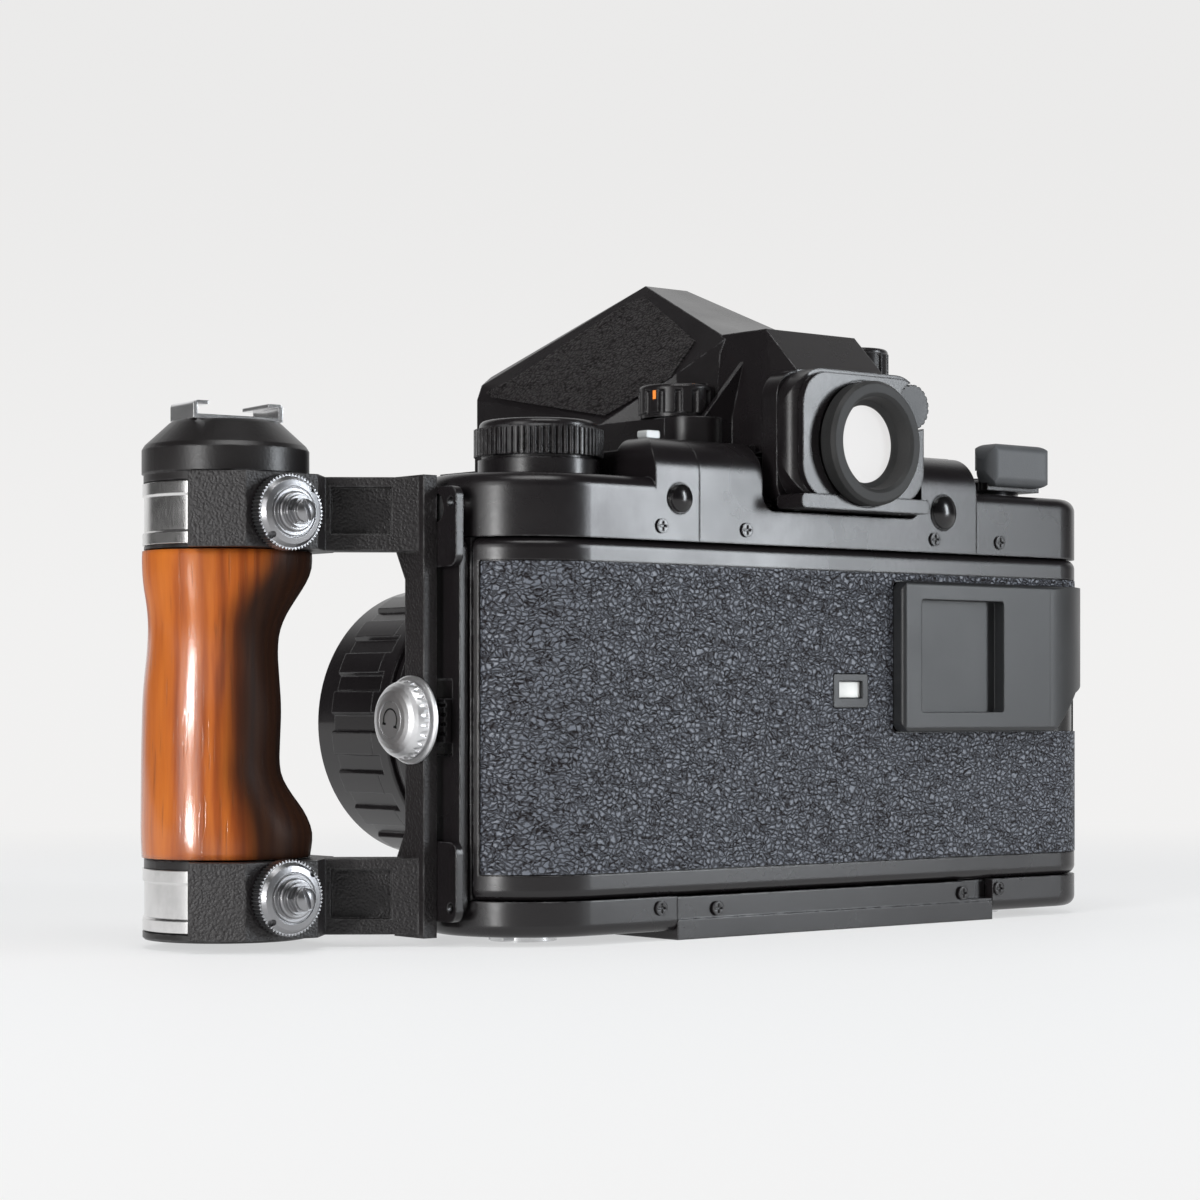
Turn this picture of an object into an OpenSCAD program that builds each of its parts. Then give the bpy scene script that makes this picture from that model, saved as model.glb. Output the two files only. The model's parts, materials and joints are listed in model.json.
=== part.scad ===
// Medium format single-lens reflex camera with a wooden side grip.
// X points to the operator's left, Y to the rear and Z up, in millimetres.
// The origin is the mouth of the tripod socket, below the optical axis.

/* [Body] */
// Rear surface of the camera, behind the tripod socket
back_y = 45; // [42:0.5:48]
// Centre of the round left end, from the optical axis
left_x = 73.5; // [70:0.5:78]
// Radius of the round left end
left_r = 22; // [20:0.5:24]
// Half width of the mirror box
box_w = 43; // [40:0.5:46]
// Distance from the origin forward to the lens flange
flange_y = 53; // [50:0.5:56]
// Height of the optical axis
axis_z = 46; // [44:0.5:48]
// Distance from the lens flange to the film
flange_to_film = 85; // [80:0.5:90]
// Height of the seam between base and door
seam_low = 9.6; // [8:0.2:12]
// Height of the seam between door and top cover
seam_high = 85.8; // [84:0.2:88]

/* [Top cover] */
// Height of the low left and right decks
deck_low = 99.5; // [98:0.5:101]
// Height of the raised middle deck
deck_high = 106; // [104:0.5:108]
// Height of the band along the rear of the middle deck
band_z = 108.7; // [107:0.1:110]
// Radius of the shoulder behind the middle deck
shoulder = 8.5; // [5:0.5:9]

/* [Dials] */
// Radius of the shutter dial
dial_r = 14.1; // [13:0.1:15]
// Number of ribs round the shutter dial
dial_ribs = 64; // [40:1:80]
// Radius of the compensation dial
comp_r = 8.8; // [8:0.1:10]

/* [Finder] */
// Height of the roof ridge above the base
ridge_z = 151; // [148:0.5:154]
// Half width of the roof ridge
ridge_w = 6.5; // [5:0.5:8]
// Height of the eyepiece axis
eye_z = 109; // [107:0.5:111]

/* [Lens] */
// Length of the lens from its flange
lens_l = 60; // [56:1:70]
// Outer radius of the front rim
rim_r = 35; // [34:0.5:38]
// Radius of the filter thread
filter_r = 33.5; // [30:0.5:34]
// Number of grip flutes on the focus ring
flutes = 22; // [12:1:28]

/* [Grip] */
// Handle axis, to the left of the optical axis
grip_x = 132.5; // [125:0.5:140]
// Handle axis, behind the origin
grip_y = -4; // [-15:0.5:5]
// Radius of the handle collars
grip_r = 17.3; // [16:0.1:19]
// Top of the wood
wood_top = 82.6; // [78:0.2:86]
// Bottom of the wood
wood_low = 18.9; // [16:0.2:22]
// Turn of the accessory shoe about the handle's axis, 0 for straight ahead
shoe_turn = -6.7; // [-45:0.1:45]

/* [Hidden] */
$fn = 96;
left_y = back_y - left_r;
front_y = left_y - left_r;
film_y = flange_to_film - flange_y;
gate_z = axis_z + 0.5;
spool_x = 74;
take_x = -66;
spool_y = 22.5;
dial_x = 69.5;
dial_y = 22.4;
comp_x = 26.7;
comp_y = 18.9;
meter_x = -24.7;
meter_y = 24.5;
lever_x = -66;
lever_y = 22.5;
rel_x = -66;
rel_y = -9;
hinge_x = -88.2;
hinge_y = 32.4;
mir_y = 23.5;
mir_z = 83.5;
mir_l = 69;
eps = 0.01;
BLACK = [0.06, 0.06, 0.065];
SATIN = [0.12, 0.12, 0.125];
LEATHER = [0.2, 0.21, 0.23];
STEEL = [0.78, 0.78, 0.8];
GREY = [0.5, 0.51, 0.53];
WOOD = [0.72, 0.33, 0.1];
GLASS = [0.8, 0.88, 0.95, 0.5];

// Outline of a toothed disc, from the root radius to the tip radius
module teeth(root, tip, n, land = 0.35) {
  s = 360 / n;
  polygon([for (i = [0:n - 1], k = [0:3]) let (a = s * (i + [0, 0.5 - land / 2, 0.5 + land / 2, 1 - eps][k]),
    q = k % 3 == 0 ? root : tip) [q * cos(a), q * sin(a)]]);
}

// A drawing in Y and Z, drawn out along X
module along_x(x0, x1) {
  translate([x0, 0, 0]) rotate([90, 0, 90]) linear_extrude(x1 - x0) children();
}

// A drawing in X and Z, drawn out along Y
module along_y(y0, y1) {
  translate([0, y1, 0]) rotate([90, 0, 0]) linear_extrude(y1 - y0) children();
}

// A box between two corners
module box(a, b) {
  translate(a) cube(b - a);
}

// A plain round bar along Z
module post(x, y, z0, z1, r) {
  translate([x, y, z0]) cylinder(r = r, h = z1 - z0);
}

// A plain round bar along Y
module rod_y(x, z, y0, y1, r) {
  translate([x, y1, z]) rotate([90, 0, 0]) cylinder(r = r, h = y1 - y0);
}

// A plain round bar along X
module rod_x(y, z, x0, x1, r) {
  translate([x0, y, z]) rotate([0, 90, 0]) cylinder(r = r, h = x1 - x0);
}

// A ring round the lens axis, drawn as radius against distance forward
module lens_ring(pts) {
  translate([0, 0, axis_z]) rotate([90, 0, 0]) rotate_extrude($fn = 128) polygon(pts);
}

// A rectangle with rounded corners
module soft(x0, y0, x1, y1, r) {
  translate([x0 + r, y0]) square([x1 - x0 - 2 * r, y1 - y0]);
  translate([x0, y0 + r]) square([x1 - x0, y1 - y0 - 2 * r]);
  for (x = [x0 + r, x1 - r], y = [y0 + r, y1 - r]) translate([x, y]) circle(r = r, $fn = 48);
}

// Half a section from x = 0 to w, its outer corners rounded
module edge(w, z0, z1, rt, rb) {
  translate([0, z0 + rb]) square([w, z1 - z0 - rt - rb]);
  translate([0, z0]) square([w - rb, z1 - z0 - rt]);
  translate([0, z0 + rb]) square([w - rt, z1 - z0 - rb]);
  if (rb > 0) translate([w - rb, z0 + rb]) circle(r = rb, $fn = 48);
  if (rt > 0) translate([w - rt, z1 - rt]) circle(r = rt, $fn = 48);
}

// The film body's outline as a slab with rounded top and bottom edges
module slab(z0, z1, rt, rb, i = 0) {
  translate([left_x, left_y, 0]) rotate_extrude($fn = 128) edge(left_r - i, z0, z1, rt, rb);
  translate([-73.5, back_y - 13, 0]) rotate_extrude() edge(13 - i, z0, z1, rt, rb);
  translate([-76.5, front_y + 10, 0]) rotate_extrude() edge(10 - i, z0, z1, rt, rb);
  along_x(-73.5, left_x) {
    translate([left_y, 0]) edge(left_r - i, z0, z1, rt, rb);
    translate([left_y, 0]) mirror([1, 0]) edge(left_r - i, z0, z1, rt, rb);
  }
  along_x(-76.5, -73)
    translate([left_y, 0]) mirror([1, 0]) edge(left_r - i, z0, z1, rt, rb);
  along_y(front_y + 10, back_y - 13)
    translate([-60, 0]) mirror([1, 0]) edge(26.5 - i, z0, z1, rt, rb);
}

// A headed screw looking to the rear, with a cross in its head
module rear_screw(x, y, z, r = 1.6) {
  translate([x, y, z]) rotate([-90, 0, 0]) difference() {
    union() {
      cylinder(r = r, h = 0.5, $fn = 40);
      translate([0, 0, -3]) cylinder(r = r * 0.55, h = 3.1, $fn = 24);
    }
    for (a = [0, 90]) rotate([0, 0, a]) translate([-r * 0.65, -0.22, 0.1]) cube([r * 1.3, 0.44, 1]);
  }
}

// Where the small screws sit on the rear of the covers
SCREWS = [[53.8, 89], [29.3, 89], [-29.8, 89], [-51.8, 89],
  [54.1, 7.1], [37.8, 6.4], [-39.2, 6.6], [-51.5, 7.2]];

// The film body: chambers, film gate and mirror box
module body_casting() color(BLACK) {
  // Fixed stubs that carry the upper ends of both spools
  for (x = [spool_x, take_x]) post(x, spool_y, seam_high - 12, seam_high - 5, 4);
  difference() {
    union() {
      intersection() {
        slab(seam_low + 0.1, seam_high - 0.1, 0, 0);
        box([-100, -10, 0], [110, 30.6, 120]);
      }
      intersection() {
        slab(seam_low + 3, seam_high - 3, 0, 0, 3);
        box([-100, 20, 0], [110, film_y, 120]);
      }
      // Film rails above and below the gate
      for (s = [-1, 1], w = [28.6, 31.6]) along_x(-36, 36)
        translate([film_y - 1, gate_z + s * w - 0.6]) square([1.3, 1.2]);
      box([-box_w, -flange_y + 3, seam_low + 0.1], [box_w, 4, seam_high - 0.1]);
      rod_y(0, axis_z, -flange_y + 3, -flange_y + 5, 41.5);
      post(hinge_x, hinge_y, 30, 65.4, 2.6);
      box([hinge_x, hinge_y - 7, 30], [-85, hinge_y - 2.9, 65.4]);
      box([hinge_x - 2.6, hinge_y - 7, 30], [hinge_x + 2.6, hinge_y, 65.4]);
    }
    // Film chambers
    for (x = [spool_x, take_x]) {
      post(x, spool_y, seam_low + 5.4, seam_high - 5.4, 14.4);
      box([x - 14.4, spool_y, seam_low + 5.4], [x + 14.4, 50, seam_high - 5.4]);
      post(x, spool_y, 0, 20, 3.3);
    }
    // Clear of the door's two knuckles
    for (z = [[0, 29.9], [65.5, 100]]) post(hinge_x, hinge_y, z[0], z[1], 2.9);
    // Roller bed, film gate and mirror box
    post(-44, 29.2, seam_low + 5.4, seam_high - 5.4, 3.9);
    for (z = [seam_low + 3.4, seam_high - 5.5]) post(-44, 29.2, z, z + 2.1, 1.05);
    box([-35, 20, gate_z - 28], [35, 40, gate_z + 28]);
    box([-38, -flange_y + 6, 12], [38, 28.3, 100]);
    rod_y(0, axis_z, -flange_y, 0, 33);
    rod_x(mir_y, mir_z, -40, 40, 1.25);
    // Pin hole of the door hinge
    post(hinge_x, hinge_y, 20, 75, 1.25);
  }
}

// Outline of the raised middle deck in Y and Z
module deck_profile(y0, top) {
  translate([y0, seam_high + 0.1]) square([back_y - shoulder - y0, top - seam_high - 0.1]);
  intersection() {
    translate([31.4, seam_high + 0.1]) square([30, band_z - seam_high]);
    union() {
      translate([y0, seam_high + 0.1]) square([back_y - shoulder - y0, band_z - seam_high - 0.1]);
      translate([y0, seam_high + 0.1]) square([back_y - y0, band_z - shoulder - seam_high - 0.1]);
      translate([back_y - shoulder, band_z - shoulder]) circle(r = shoulder);
    }
  }
}

// Left part of the top cover, with its step up to the middle deck
module top_cover_left() color(SATIN) difference() {
  union() {
    intersection() {
      slab(seam_high + 0.1, deck_low, 3, 0);
      box([box_w + 0.05, -10, 0], [110, 60, 130]);
    }
    intersection() {
      along_x(box_w + 0.05, 55.4) deck_profile(front_y, deck_high);
      along_y(-10, 60) translate([20, 0]) edge(35.4, 60, band_z, 5, 0);
    }
  }
  intersection() {
    slab(seam_high - 1, deck_low - 2.4, 0, 0, 2.4);
    box([box_w + 2, front_y + 2.4, 0], [110, 41, deck_low - 2.4]);
  }
  post(dial_x, dial_y, 90, 110, 4.05);
  rod_y(48.7, 95.1, 30, 50, 3.4);
  for (s = SCREWS) if (s[1] > 80 && s[0] > box_w) rod_y(s[0], s[1], 38, 50, 0.95);
  rod_x(24.5, 92, 85, 110, 1.6);
}

// Middle part of the top cover, open under the finder and notched for the eyepiece
module top_cover_center() color(SATIN) difference() {
  union() {
    along_x(-box_w - 0.95, box_w - 0.05) deck_profile(front_y - 1, deck_high);
    box([-box_w, -flange_y + 4, seam_high + 0.1], [box_w - 0.05, 5, deck_high]);
    along_x(-47.3, -35.2) polygon([[8, 100.65], [8, 107.8], [9.5, 109.3], [32.5, 109.3], [33.5, 108.9],
      [41.2, 101.6], [41.4, 100.65]]);
  }
  box([-35, -flange_y + 9, 80], [35, 14, 120]);
  box([-36.4, -43.4, 92], [36.4, 13.4, 120]);
  box([-40, 17, 80], [40, 41, deck_high - 10.5]);
  along_y(38.5, 60) soft(-25.5, 93.4, 24.5, 130, 4);
  box([-20.6, 20, deck_high], [20.6, 46, 120]);
  rod_y(0, axis_z, -60, -47.9, 41.6);
  rod_y(-32.8, 95.3, 30, 50, 4.2);
  for (s = SCREWS) if (s[1] > 80 && abs(s[0]) < box_w) rod_y(s[0], s[1], 38, 50, 0.95);
}

// Right part of the top cover, over the grip and the advance lever
module top_cover_right() color(SATIN) difference() {
  union() {
    intersection() {
      union() {
        slab(seam_high + 0.1, deck_low + 1, 3, 0);
        translate([rel_x, rel_y, 0]) rotate_extrude() edge(13, seam_high + 0.1, deck_low + 1, 3, 0);
        along_y(rel_y, 10) {
          translate([rel_x, 0]) edge(13, seam_high + 0.1, deck_low + 1, 3, 0);
          translate([rel_x, 0]) mirror([1, 0]) edge(13, seam_high + 0.1, deck_low + 1, 3, 0);
        }
      }
      box([-100, -40, 0], [-box_w - 1.05, 60, 130]);
    }
  }
  intersection() {
    slab(seam_high - 1, deck_low - 2, 0, 0, 2.4);
    box([-100, front_y + 2.4, 0], [-box_w - 3.4, 41, deck_low - 2]);
  }
  post(lever_x, lever_y, 80, 120, 4.05);
  post(rel_x, rel_y, 90, 120, 3.7);
  difference() {
    post(rel_x, rel_y, deck_low - 1, 120, 7.3);
    post(rel_x, rel_y, deck_low - 2, deck_low + 1, 4.7);
  }
  for (s = SCREWS) if (s[1] > 80 && s[0] < -box_w) rod_y(s[0], s[1], 38, 50, 0.95);
  box([-79, -0.4, deck_low - 0.4], [-61, 5.5, 120]);
  rod_x(24.5, 92, -100, -75, 1.6);
}

// Base cover round the film body
module bottom_cover() color(SATIN) difference() {
  union() {
    slab(1.9, seam_low - 0.1, 0, 2.5);
    box([-box_w, -flange_y + 4, 1.4], [box_w, 5, 2.9]);
  }
  slab(4.2, 20, 0, 0, 2.6);
  along_y(-60, 60) soft(-49.6, -10, 49.4, 5.2, 0.8);
  box([-49.6, back_y - 6.4, -1], [49.4, 60, 20]);
  box([-box_w - 0.1, -60, -1], [box_w + 0.1, 4.1, 20]);
  for (x = [spool_x, take_x]) {
    post(x, spool_y, -1, 20, 3.3);
    post(x, spool_y, -1, 3.9, 8.4);
  }
  post(spool_x, spool_y, -1, 3.9, 9.6);
  for (s = SCREWS) if (s[1] < 20) rod_y(s[0], s[1], 38, 50, 0.95);
}

// Middle base plate with the tripod socket
module base_plate() color(SATIN) difference() {
  union() {
    along_x(-49.4, 49.2) translate([0, 0]) {
      translate([-48, 0]) square([90, 5]);
      translate([-48, 0]) square([back_y + 48, 4.4]);
      translate([back_y - 6.2, 0]) square([6, 9.3]);
    }
    box([-box_w + 0.1, -flange_y + 3.1, 2], [box_w - 0.1, 3.9, seam_low]);
    post(0, 0, 0, 9.4, 9);
  }
  for (s = SCREWS) if (s[1] < 20) rod_y(s[0], s[1], 38, 50, 0.95);
  rod_y(0, axis_z, -60, -47.9, 41.6);
  post(0, 0, -1, 8, 3.18);
  post(0, 0, -eps, 0.5, 3.8);
  box([-60, back_y - 2.6, 5], [-box_w + 3, 60, 20]);
}

// Leather on the front of the film body, left of the mirror box, and on the left front curve
module front_leather() color(LEATHER) {
  intersection() {
    difference() {
      slab(15, 81, 0, 0, -0.6);
      slab(0, 100, 0, 0, -0.04);
    }
    box([box_w + 4, -20, 0], [88, 10, 120]);
  }
}

// Right-hand grip on the front of the film body
module hand_grip() color(LEATHER) difference() {
  translate([-66, front_y - 6, 12]) linear_extrude(70) difference() {
    union() {
      circle(r = 12);
      translate([-12, 0]) square([30, 6 - 0.05]);
      translate([0, -12]) square([8, 14]);
      translate([8, -2]) circle(r = 10);
    }
  }
  slab(0, 100, 0, 0, -0.04);
}

// Lens mount ring with its inner bayonet lugs
module lens_mount_ring() color(STEEL) {
  difference() {
    lens_ring([[33.2, flange_y - 3.0], [40.5, flange_y - 3.0], [40.5, flange_y], [33.2, flange_y]]);
    for (a = [20:60:320]) translate([0, 0, axis_z]) rotate([0, a, 0])
      rod_y(37, 0, -flange_y - 1, -flange_y + 1.2, 1.5);
  }
}

// The two cloth curtains before the film gate
module shutter_curtains() color([0.08, 0.08, 0.08]) {
  box([-37.6, 26.3, 15], [4, 26.7, 78]);
  box([-4, 27.2, 15], [37.6, 27.6, 78]);
}

// Film guide roller between the gate and the take-up chamber
module film_roller() color(STEEL) {
  post(-44, 29.2, seam_low + 5.7, seam_high - 5.8, 3.4);
  post(-44, 29.2, seam_low + 3.9, seam_high - 3.9, 1);
}

// Reflex mirror on its plate, turning on two end pins
module reflex_mirror() color([0.85, 0.87, 0.9]) {
  translate([0, mir_y, mir_z]) rotate([45, 0, 0]) {
    translate([-36.5, -mir_l, -2.6]) cube([73, mir_l - 1, 1.6]);
    translate([-35, -mir_l + 1, -1.2]) cube([70, mir_l - 6, 1.2]);
    translate([-37, -3, -2.6]) cube([74, 3, 2.6]);
  }
  rod_x(mir_y, mir_z, -39.6, 39.6, 1.2);
}

// Ground glass screen under the prism
module focusing_screen() color(GLASS) box([-36, -43, 92.1], [36, 13, 94.2]);

// Corner points of the prism shell, also used smaller for the prism itself
module prism_form() {
  h = ridge_z - deck_high;
  hull() for (s = [-1, 1]) {
    translate([s * 33.2, -46.9, 0.1]) cube([0.2, 0.2, 18.3]);
    translate([s * 29, -46.9, 24]) cube(0.2);
    translate([s * 31.8, -46.9, 21.8]) cube(0.2);
    translate([s * 33.6, 0, 0.1]) cube([0.2, 0.2, 9]);
    translate([s * 22.5, 14, 0.1]) cube([0.2, 0.2, 20.2]);
    translate([s * ridge_w, -15.5, h - 0.3]) rotate([0, 90, 0]) cylinder(r = 0.3, h = 0.1, $fn = 12);
    translate([s * 14, 21.6, 0.1]) cube([0.1, 0.2, 28.4]);
  }
}

// Solid roof prism
module pentaprism() color(GLASS)
  translate([0, -13, deck_high + 0.6]) scale([0.89, 0.87, 0.88]) translate([0, 13, 0]) prism_form();

// Prism shell, hood and dial shelf
module finder_housing() color(BLACK) difference() {
  union() {
    translate([0, 0, deck_high]) prism_form();
    hull() for (s = [-1, 1]) {
      translate([s * 13.9, 20, 134]) cube([0.1, 14.8, 1.4]);
      translate([s * 13.9, 44, 107]) cube([0.1, 0.9, 18.4]);
      translate([s * 19.5, 24, 107]) cube([0.1, 0.3, 8]);
      translate([s * 19, 43, 107]) cube([0.1, 0.5, 9]);
    }
    // Gussets behind the two dials
    along_y(28.3, 29.5) polygon([[-28, 108], [-28, 115], [-12.2, 132.4], [12.2, 132.4], [28, 115],
      [28, 108]]);
    translate([0, 0, deck_high + 0.05]) linear_extrude(9) {
      translate([-34, -47]) square([68, 70]);
      translate([-27, 0]) square([54, 24.2]);
      for (s = [-1, 1]) translate([s * 27, 24]) circle(r = 7);
    }
    post(meter_x, meter_y, 110, 126.6, 8);
    along_y(40, 44.9) soft(-20, 94.2, 20, 125, 6);
  }
  translate([0, -13, deck_high - eps]) scale([0.92, 0.92, 0.92]) translate([0, 13, 0]) prism_form();
  rod_y(0, eye_z, 10, 50, 11.3);
  // Room for the compensation dial and its pin
  post(comp_x, comp_y, 115.05, 124, comp_r + 0.4);
  post(comp_x, comp_y, 109, 130, 2.05);
  post(meter_x, meter_y, 112, 140, 2.05);
  post(meter_x, meter_y, 126.6, 150, 8.2);
}

// Leather panels on the two slopes of the prism shell
module finder_leather() color(LEATHER) for (s = [-1, 1]) intersection() {
  difference() {
    translate([0, -13, deck_high - 0.3]) scale([1.021, 1, 1.018]) translate([0, 13, 0]) prism_form();
    translate([0, 0, deck_high - 1]) translate([0, 0, 1]) prism_form();
    translate([0, 0, deck_high - 0.3]) prism_form();
  }
  rotate([90, 0, 90]) mirror([0, 0, s < 0 ? 1 : 0]) linear_extrude(60)
    polygon([[-43.5, 126], [-37, 129], [-17.5, 146.5], [-13, 148], [13.2, 134.4], [13.5, 125.5],
      [0.5, 117.2], [-41, 124.6]]);
  box([s > 0 ? 7.5 : -60, -60, 112], [s > 0 ? 60 : -7.5, 60, 150]);
}

// Block that carries the eyepiece
module eyepiece_block() color(SATIN) difference() {
  union() {
    intersection() {
      along_y(44.95, 50.7) soft(-20, 95.6, 20, 125.3, 8.5);
      translate([0, 0, 90]) linear_extrude(40) soft(-20, 36, 20, 50.7, 4.5);
    }
    along_y(50.6, 52.2) soft(-18.9, 96.4, 18.9, 124.4, 7.6);
    along_y(44.95, 53) soft(-20, 94, 20, 97.2, 1.2);
  }
  rod_y(0, eye_z, 51.5, 60, 14.2);
  rod_y(0, eye_z, 40, 60, 11.2);
  rod_y(-16.4, 118.4, 47.4, 60, 5.5);
  rod_y(-16.4, 118.4, 45, 60, 1.35);
}

// Diopter wheel beside the eyepiece
module diopter_wheel() color(STEEL) {
  difference() {
    rod_y(-16.4, 118.4, 47.7, 51.2, 5.1);
    for (a = [0:18:342]) translate([-16.4, 0, 118.4]) rotate([0, a, 0])
      rod_y(5.3, 0, 47, 52, 0.45, $fn = 16);
  }
  rod_y(-16.4, 118.4, 45.4, 48, 1.3);
}

// Rear lens of the eyepiece
module eyepiece_lens() color(GLASS) rod_y(0, eye_z, 49.6, 51.8, 8.66);

// Rubber ring of the eyepiece with its screwed tube
module eyecup() color(BLACK) translate([0, 0, eye_z]) rotate([-90, 0, 0]) rotate_extrude()
  polygon([[8.7, 46], [11.15, 46], [11.15, 51.65], [13.2, 51.65], [13.9, 52.6], [13.9, 55.6],
    [13.2, 56.5], [11.2, 56.7], [10.4, 56], [9.8, 53], [8.7, 52.2]]);

// A fluted dial along Z: radius, height, number of grooves, groove radius
module fluted(r, h, n, g) {
  difference() {
    cylinder(r = r, h = h);
    for (i = [0:n - 1]) rotate([0, 0, i * 360 / n]) translate([r + g * 0.35, 0, -1])
      cylinder(r = g, h = h + 2, $fn = 16);
  }
}

// Exposure compensation dial on the finder shelf
module compensation_dial() color(SATIN) translate([comp_x, comp_y, 0]) {
  translate([0, 0, 115.3]) cylinder(r = comp_r - 0.5, h = 0.9);
  translate([0, 0, 116.2]) fluted(comp_r, 5.2, 14, 0.9);
  translate([0, 0, 121.4]) rotate_extrude() edge(comp_r, 0, 1.3, 0.9, 0);
  translate([0, 0, 109.2]) cylinder(r = 2, h = 7);
}

// Metering mode dial, higher on the right
module metering_dial() color(SATIN) translate([meter_x, meter_y, 0]) {
  translate([0, 0, 126.9]) fluted(7.6, 6.2, 12, 0.8);
  translate([0, 0, 133.1]) rotate_extrude() edge(7.4, 0, 1.2, 0.9, 0);
  translate([0, 0, 112.2]) cylinder(r = 2, h = 15);
}

// Shutter dial with fine ribs, a collar and a shaft into the body
module shutter_dial() color(SATIN) translate([dial_x, dial_y, 0]) difference() {
  union() {
    translate([0, 0, deck_low + 0.3]) cylinder(r = 13.2, h = 3.6);
    translate([0, 0, deck_low + 3.8]) cylinder(r = 12.4, h = 1);
    translate([0, 0, deck_low + 4.6]) linear_extrude(5.9) teeth(dial_r - 0.75, dial_r, dial_ribs, 0.45);
    translate([0, 0, deck_low + 10.4]) cylinder(r = dial_r - 0.9, h = 0.4);
    translate([0, 0, deck_low + 10.7]) rotate_extrude() edge(12.9, 0, 1.7, 1.3, 0);
    translate([0, 0, 91]) cylinder(r = 4, h = 10);
  }
  translate([0, 0, 88]) cylinder(r = 2.9, h = 40);
}

// Lock button in the middle of the shutter dial
module dial_lock_button() color(SATIN) translate([dial_x, dial_y, 0]) {
  translate([0, 0, deck_low + 1.1]) cylinder(r = 2.84, h = 12.2);
}

// A round button along Y with a flange behind its hole
module rear_button(x, z, r) {
  rod_y(x, z, 39, back_y + 0.2, r);
  intersection() {
    rod_y(x, z, back_y - 1, back_y + 3, r - 0.35);
    translate([x, back_y + 1.7 - 1.75 * r, z]) sphere(r = 1.75 * r);
  }
}

// Film speed button at the left rear
module speed_button() color(BLACK) rear_button(48.7, 95.1, 3.32);

// Memory lock button at the right rear
module memory_button() color(BLACK) rear_button(-32.8, 95.3, 4.12);

// Film advance lever with its hub and shaft
module advance_lever() color(SATIN) {
  translate([lever_x, lever_y, 0]) {
    translate([0, 0, deck_low + 1.3]) rotate_extrude() edge(11.5, 0, 4.6, 1.2, 0);
    translate([0, 0, seam_high + 0.6]) cylinder(r = 4, h = 17);
  }
  translate([0, 0, deck_low + 2.2]) linear_extrude(2.6) difference() {
    union() {
      translate([-69.6, lever_y]) square([11.6, 18.9]);
      translate([-69.6, lever_y + 15]) square([17, 3.9]);
    }
  }
  box([-69.4, lever_y + 17, deck_low + 2.2], [-51.6, lever_y + 18.9, 110]);
}

// Rubber thumb pad on the advance lever
module lever_pad() color(GREY) difference() {
  intersection() {
    along_y(lever_y + 15, lever_y + 22) soft(-71, 102.6, -49.9, 112.7, 3.8);
    translate([0, 0, 102]) linear_extrude(13) soft(-71, lever_y + 15, -49.9, lever_y + 22, 2.6);
    along_x(-80, -40) soft(lever_y + 15, 102.6, lever_y + 22, 112.7, 2.2);
  }
  box([-69.7, 0, 90], [-51.4, lever_y + 19.05, 110.2]);
  box([-80, 0, 90], [-40, lever_y + 16.9, 106.4]);
}

// Shutter release button in the ring of the power switch
module shutter_release() color(STEEL) translate([rel_x, rel_y, 0]) {
  translate([0, 0, 92]) cylinder(r = 3, h = deck_low + 2 - 92);
  translate([0, 0, deck_low + 2]) rotate_extrude() edge(3.3, 0, 1.6, 0.6, 0);
}

// Power switch ring with its finger tab
module power_switch() color(SATIN) translate([rel_x, rel_y, 0]) difference() {
  union() {
    translate([0, 0, deck_low - 0.7]) cylinder(r = 7.2, h = 3);
    translate([0, 0, deck_low + 1.2]) cylinder(r = 8.4, h = 1.6);
    translate([0, -10.4, deck_low + 1.2]) rotate([0, 0, -45]) cube([2.6, 2.6, 1.6]);
    translate([-1.8, -10.6, deck_low + 1.2]) cube([3.6, 3, 1.6]);
  }
  translate([0, 0, 80]) cylinder(r = 5, h = 40);
}

// Display window on the right cover and index window on the middle deck
module display_windows() color([0.75, 0.78, 0.76]) {
  box([-78.8, -0.2, deck_low - 0.3], [-61.2, 5.3, deck_low + 1.6]);
  along_y(32.4, 35.4) soft(46, band_z + 0.05, 50, band_z + 1.8, 0.6);
}

// Back door: a tray that closes over the rim of the film body
module back_door() color(SATIN) difference() {
  union() {
    intersection() {
      difference() {
        slab(seam_low, seam_high, 2.2, 2.2);
        intersection() {
          slab(seam_low + 2.5, seam_high - 2.5, 0, 0, 2.6);
          box([-100, 0, 0], [110, 42.4, 120]);
        }
      }
      box([-100, 31, 0], [110, 60, 120]);
    }
    for (z = [seam_low + 1, 65.8]) {
      post(hinge_x, hinge_y, z, z == 65.8 ? seam_high - 1 : 29.6, 2.6);
      box([hinge_x, hinge_y - 0.2, z], [-84, 36, z == 65.8 ? seam_high - 1 : 29.6]);
    }
  }
  // Bed of the leather
  intersection() {
    difference() {
      slab(15, 80.9, 0, 0, -1);
      slab(14, 82, 0, 0, 0.7);
    }
    box([-84, 32, 0], [93.3, 60, 120]);
  }
  post(hinge_x, hinge_y, 0, 100, 1.25);
  // Round the fixed hinge knuckle
  intersection() {
    post(hinge_x, hinge_y, 29.6, 65.8, 3);
    box([-100, 0, 0], [-83, 60, 120]);
  }
  along_y(30, 60) soft(-8.2, 49.8, 3, 57.8, 0.6);
}

// Leather on the back door
module door_leather() color(LEATHER) difference() {
  intersection() {
    difference() {
      slab(15.2, 80.7, 0, 0, -0.1);
      slab(14, 82, 0, 0, 0.66);
    }
    box([-83.8, 32, 0], [93.1, 60, 120]);
  }
  along_y(30, 60) soft(-8.2, 49.8, 3, 57.8, 0.6);
  along_y(30, 60) soft(-95, 44.2, -16.1, 79.2, 1.8);
}

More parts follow.
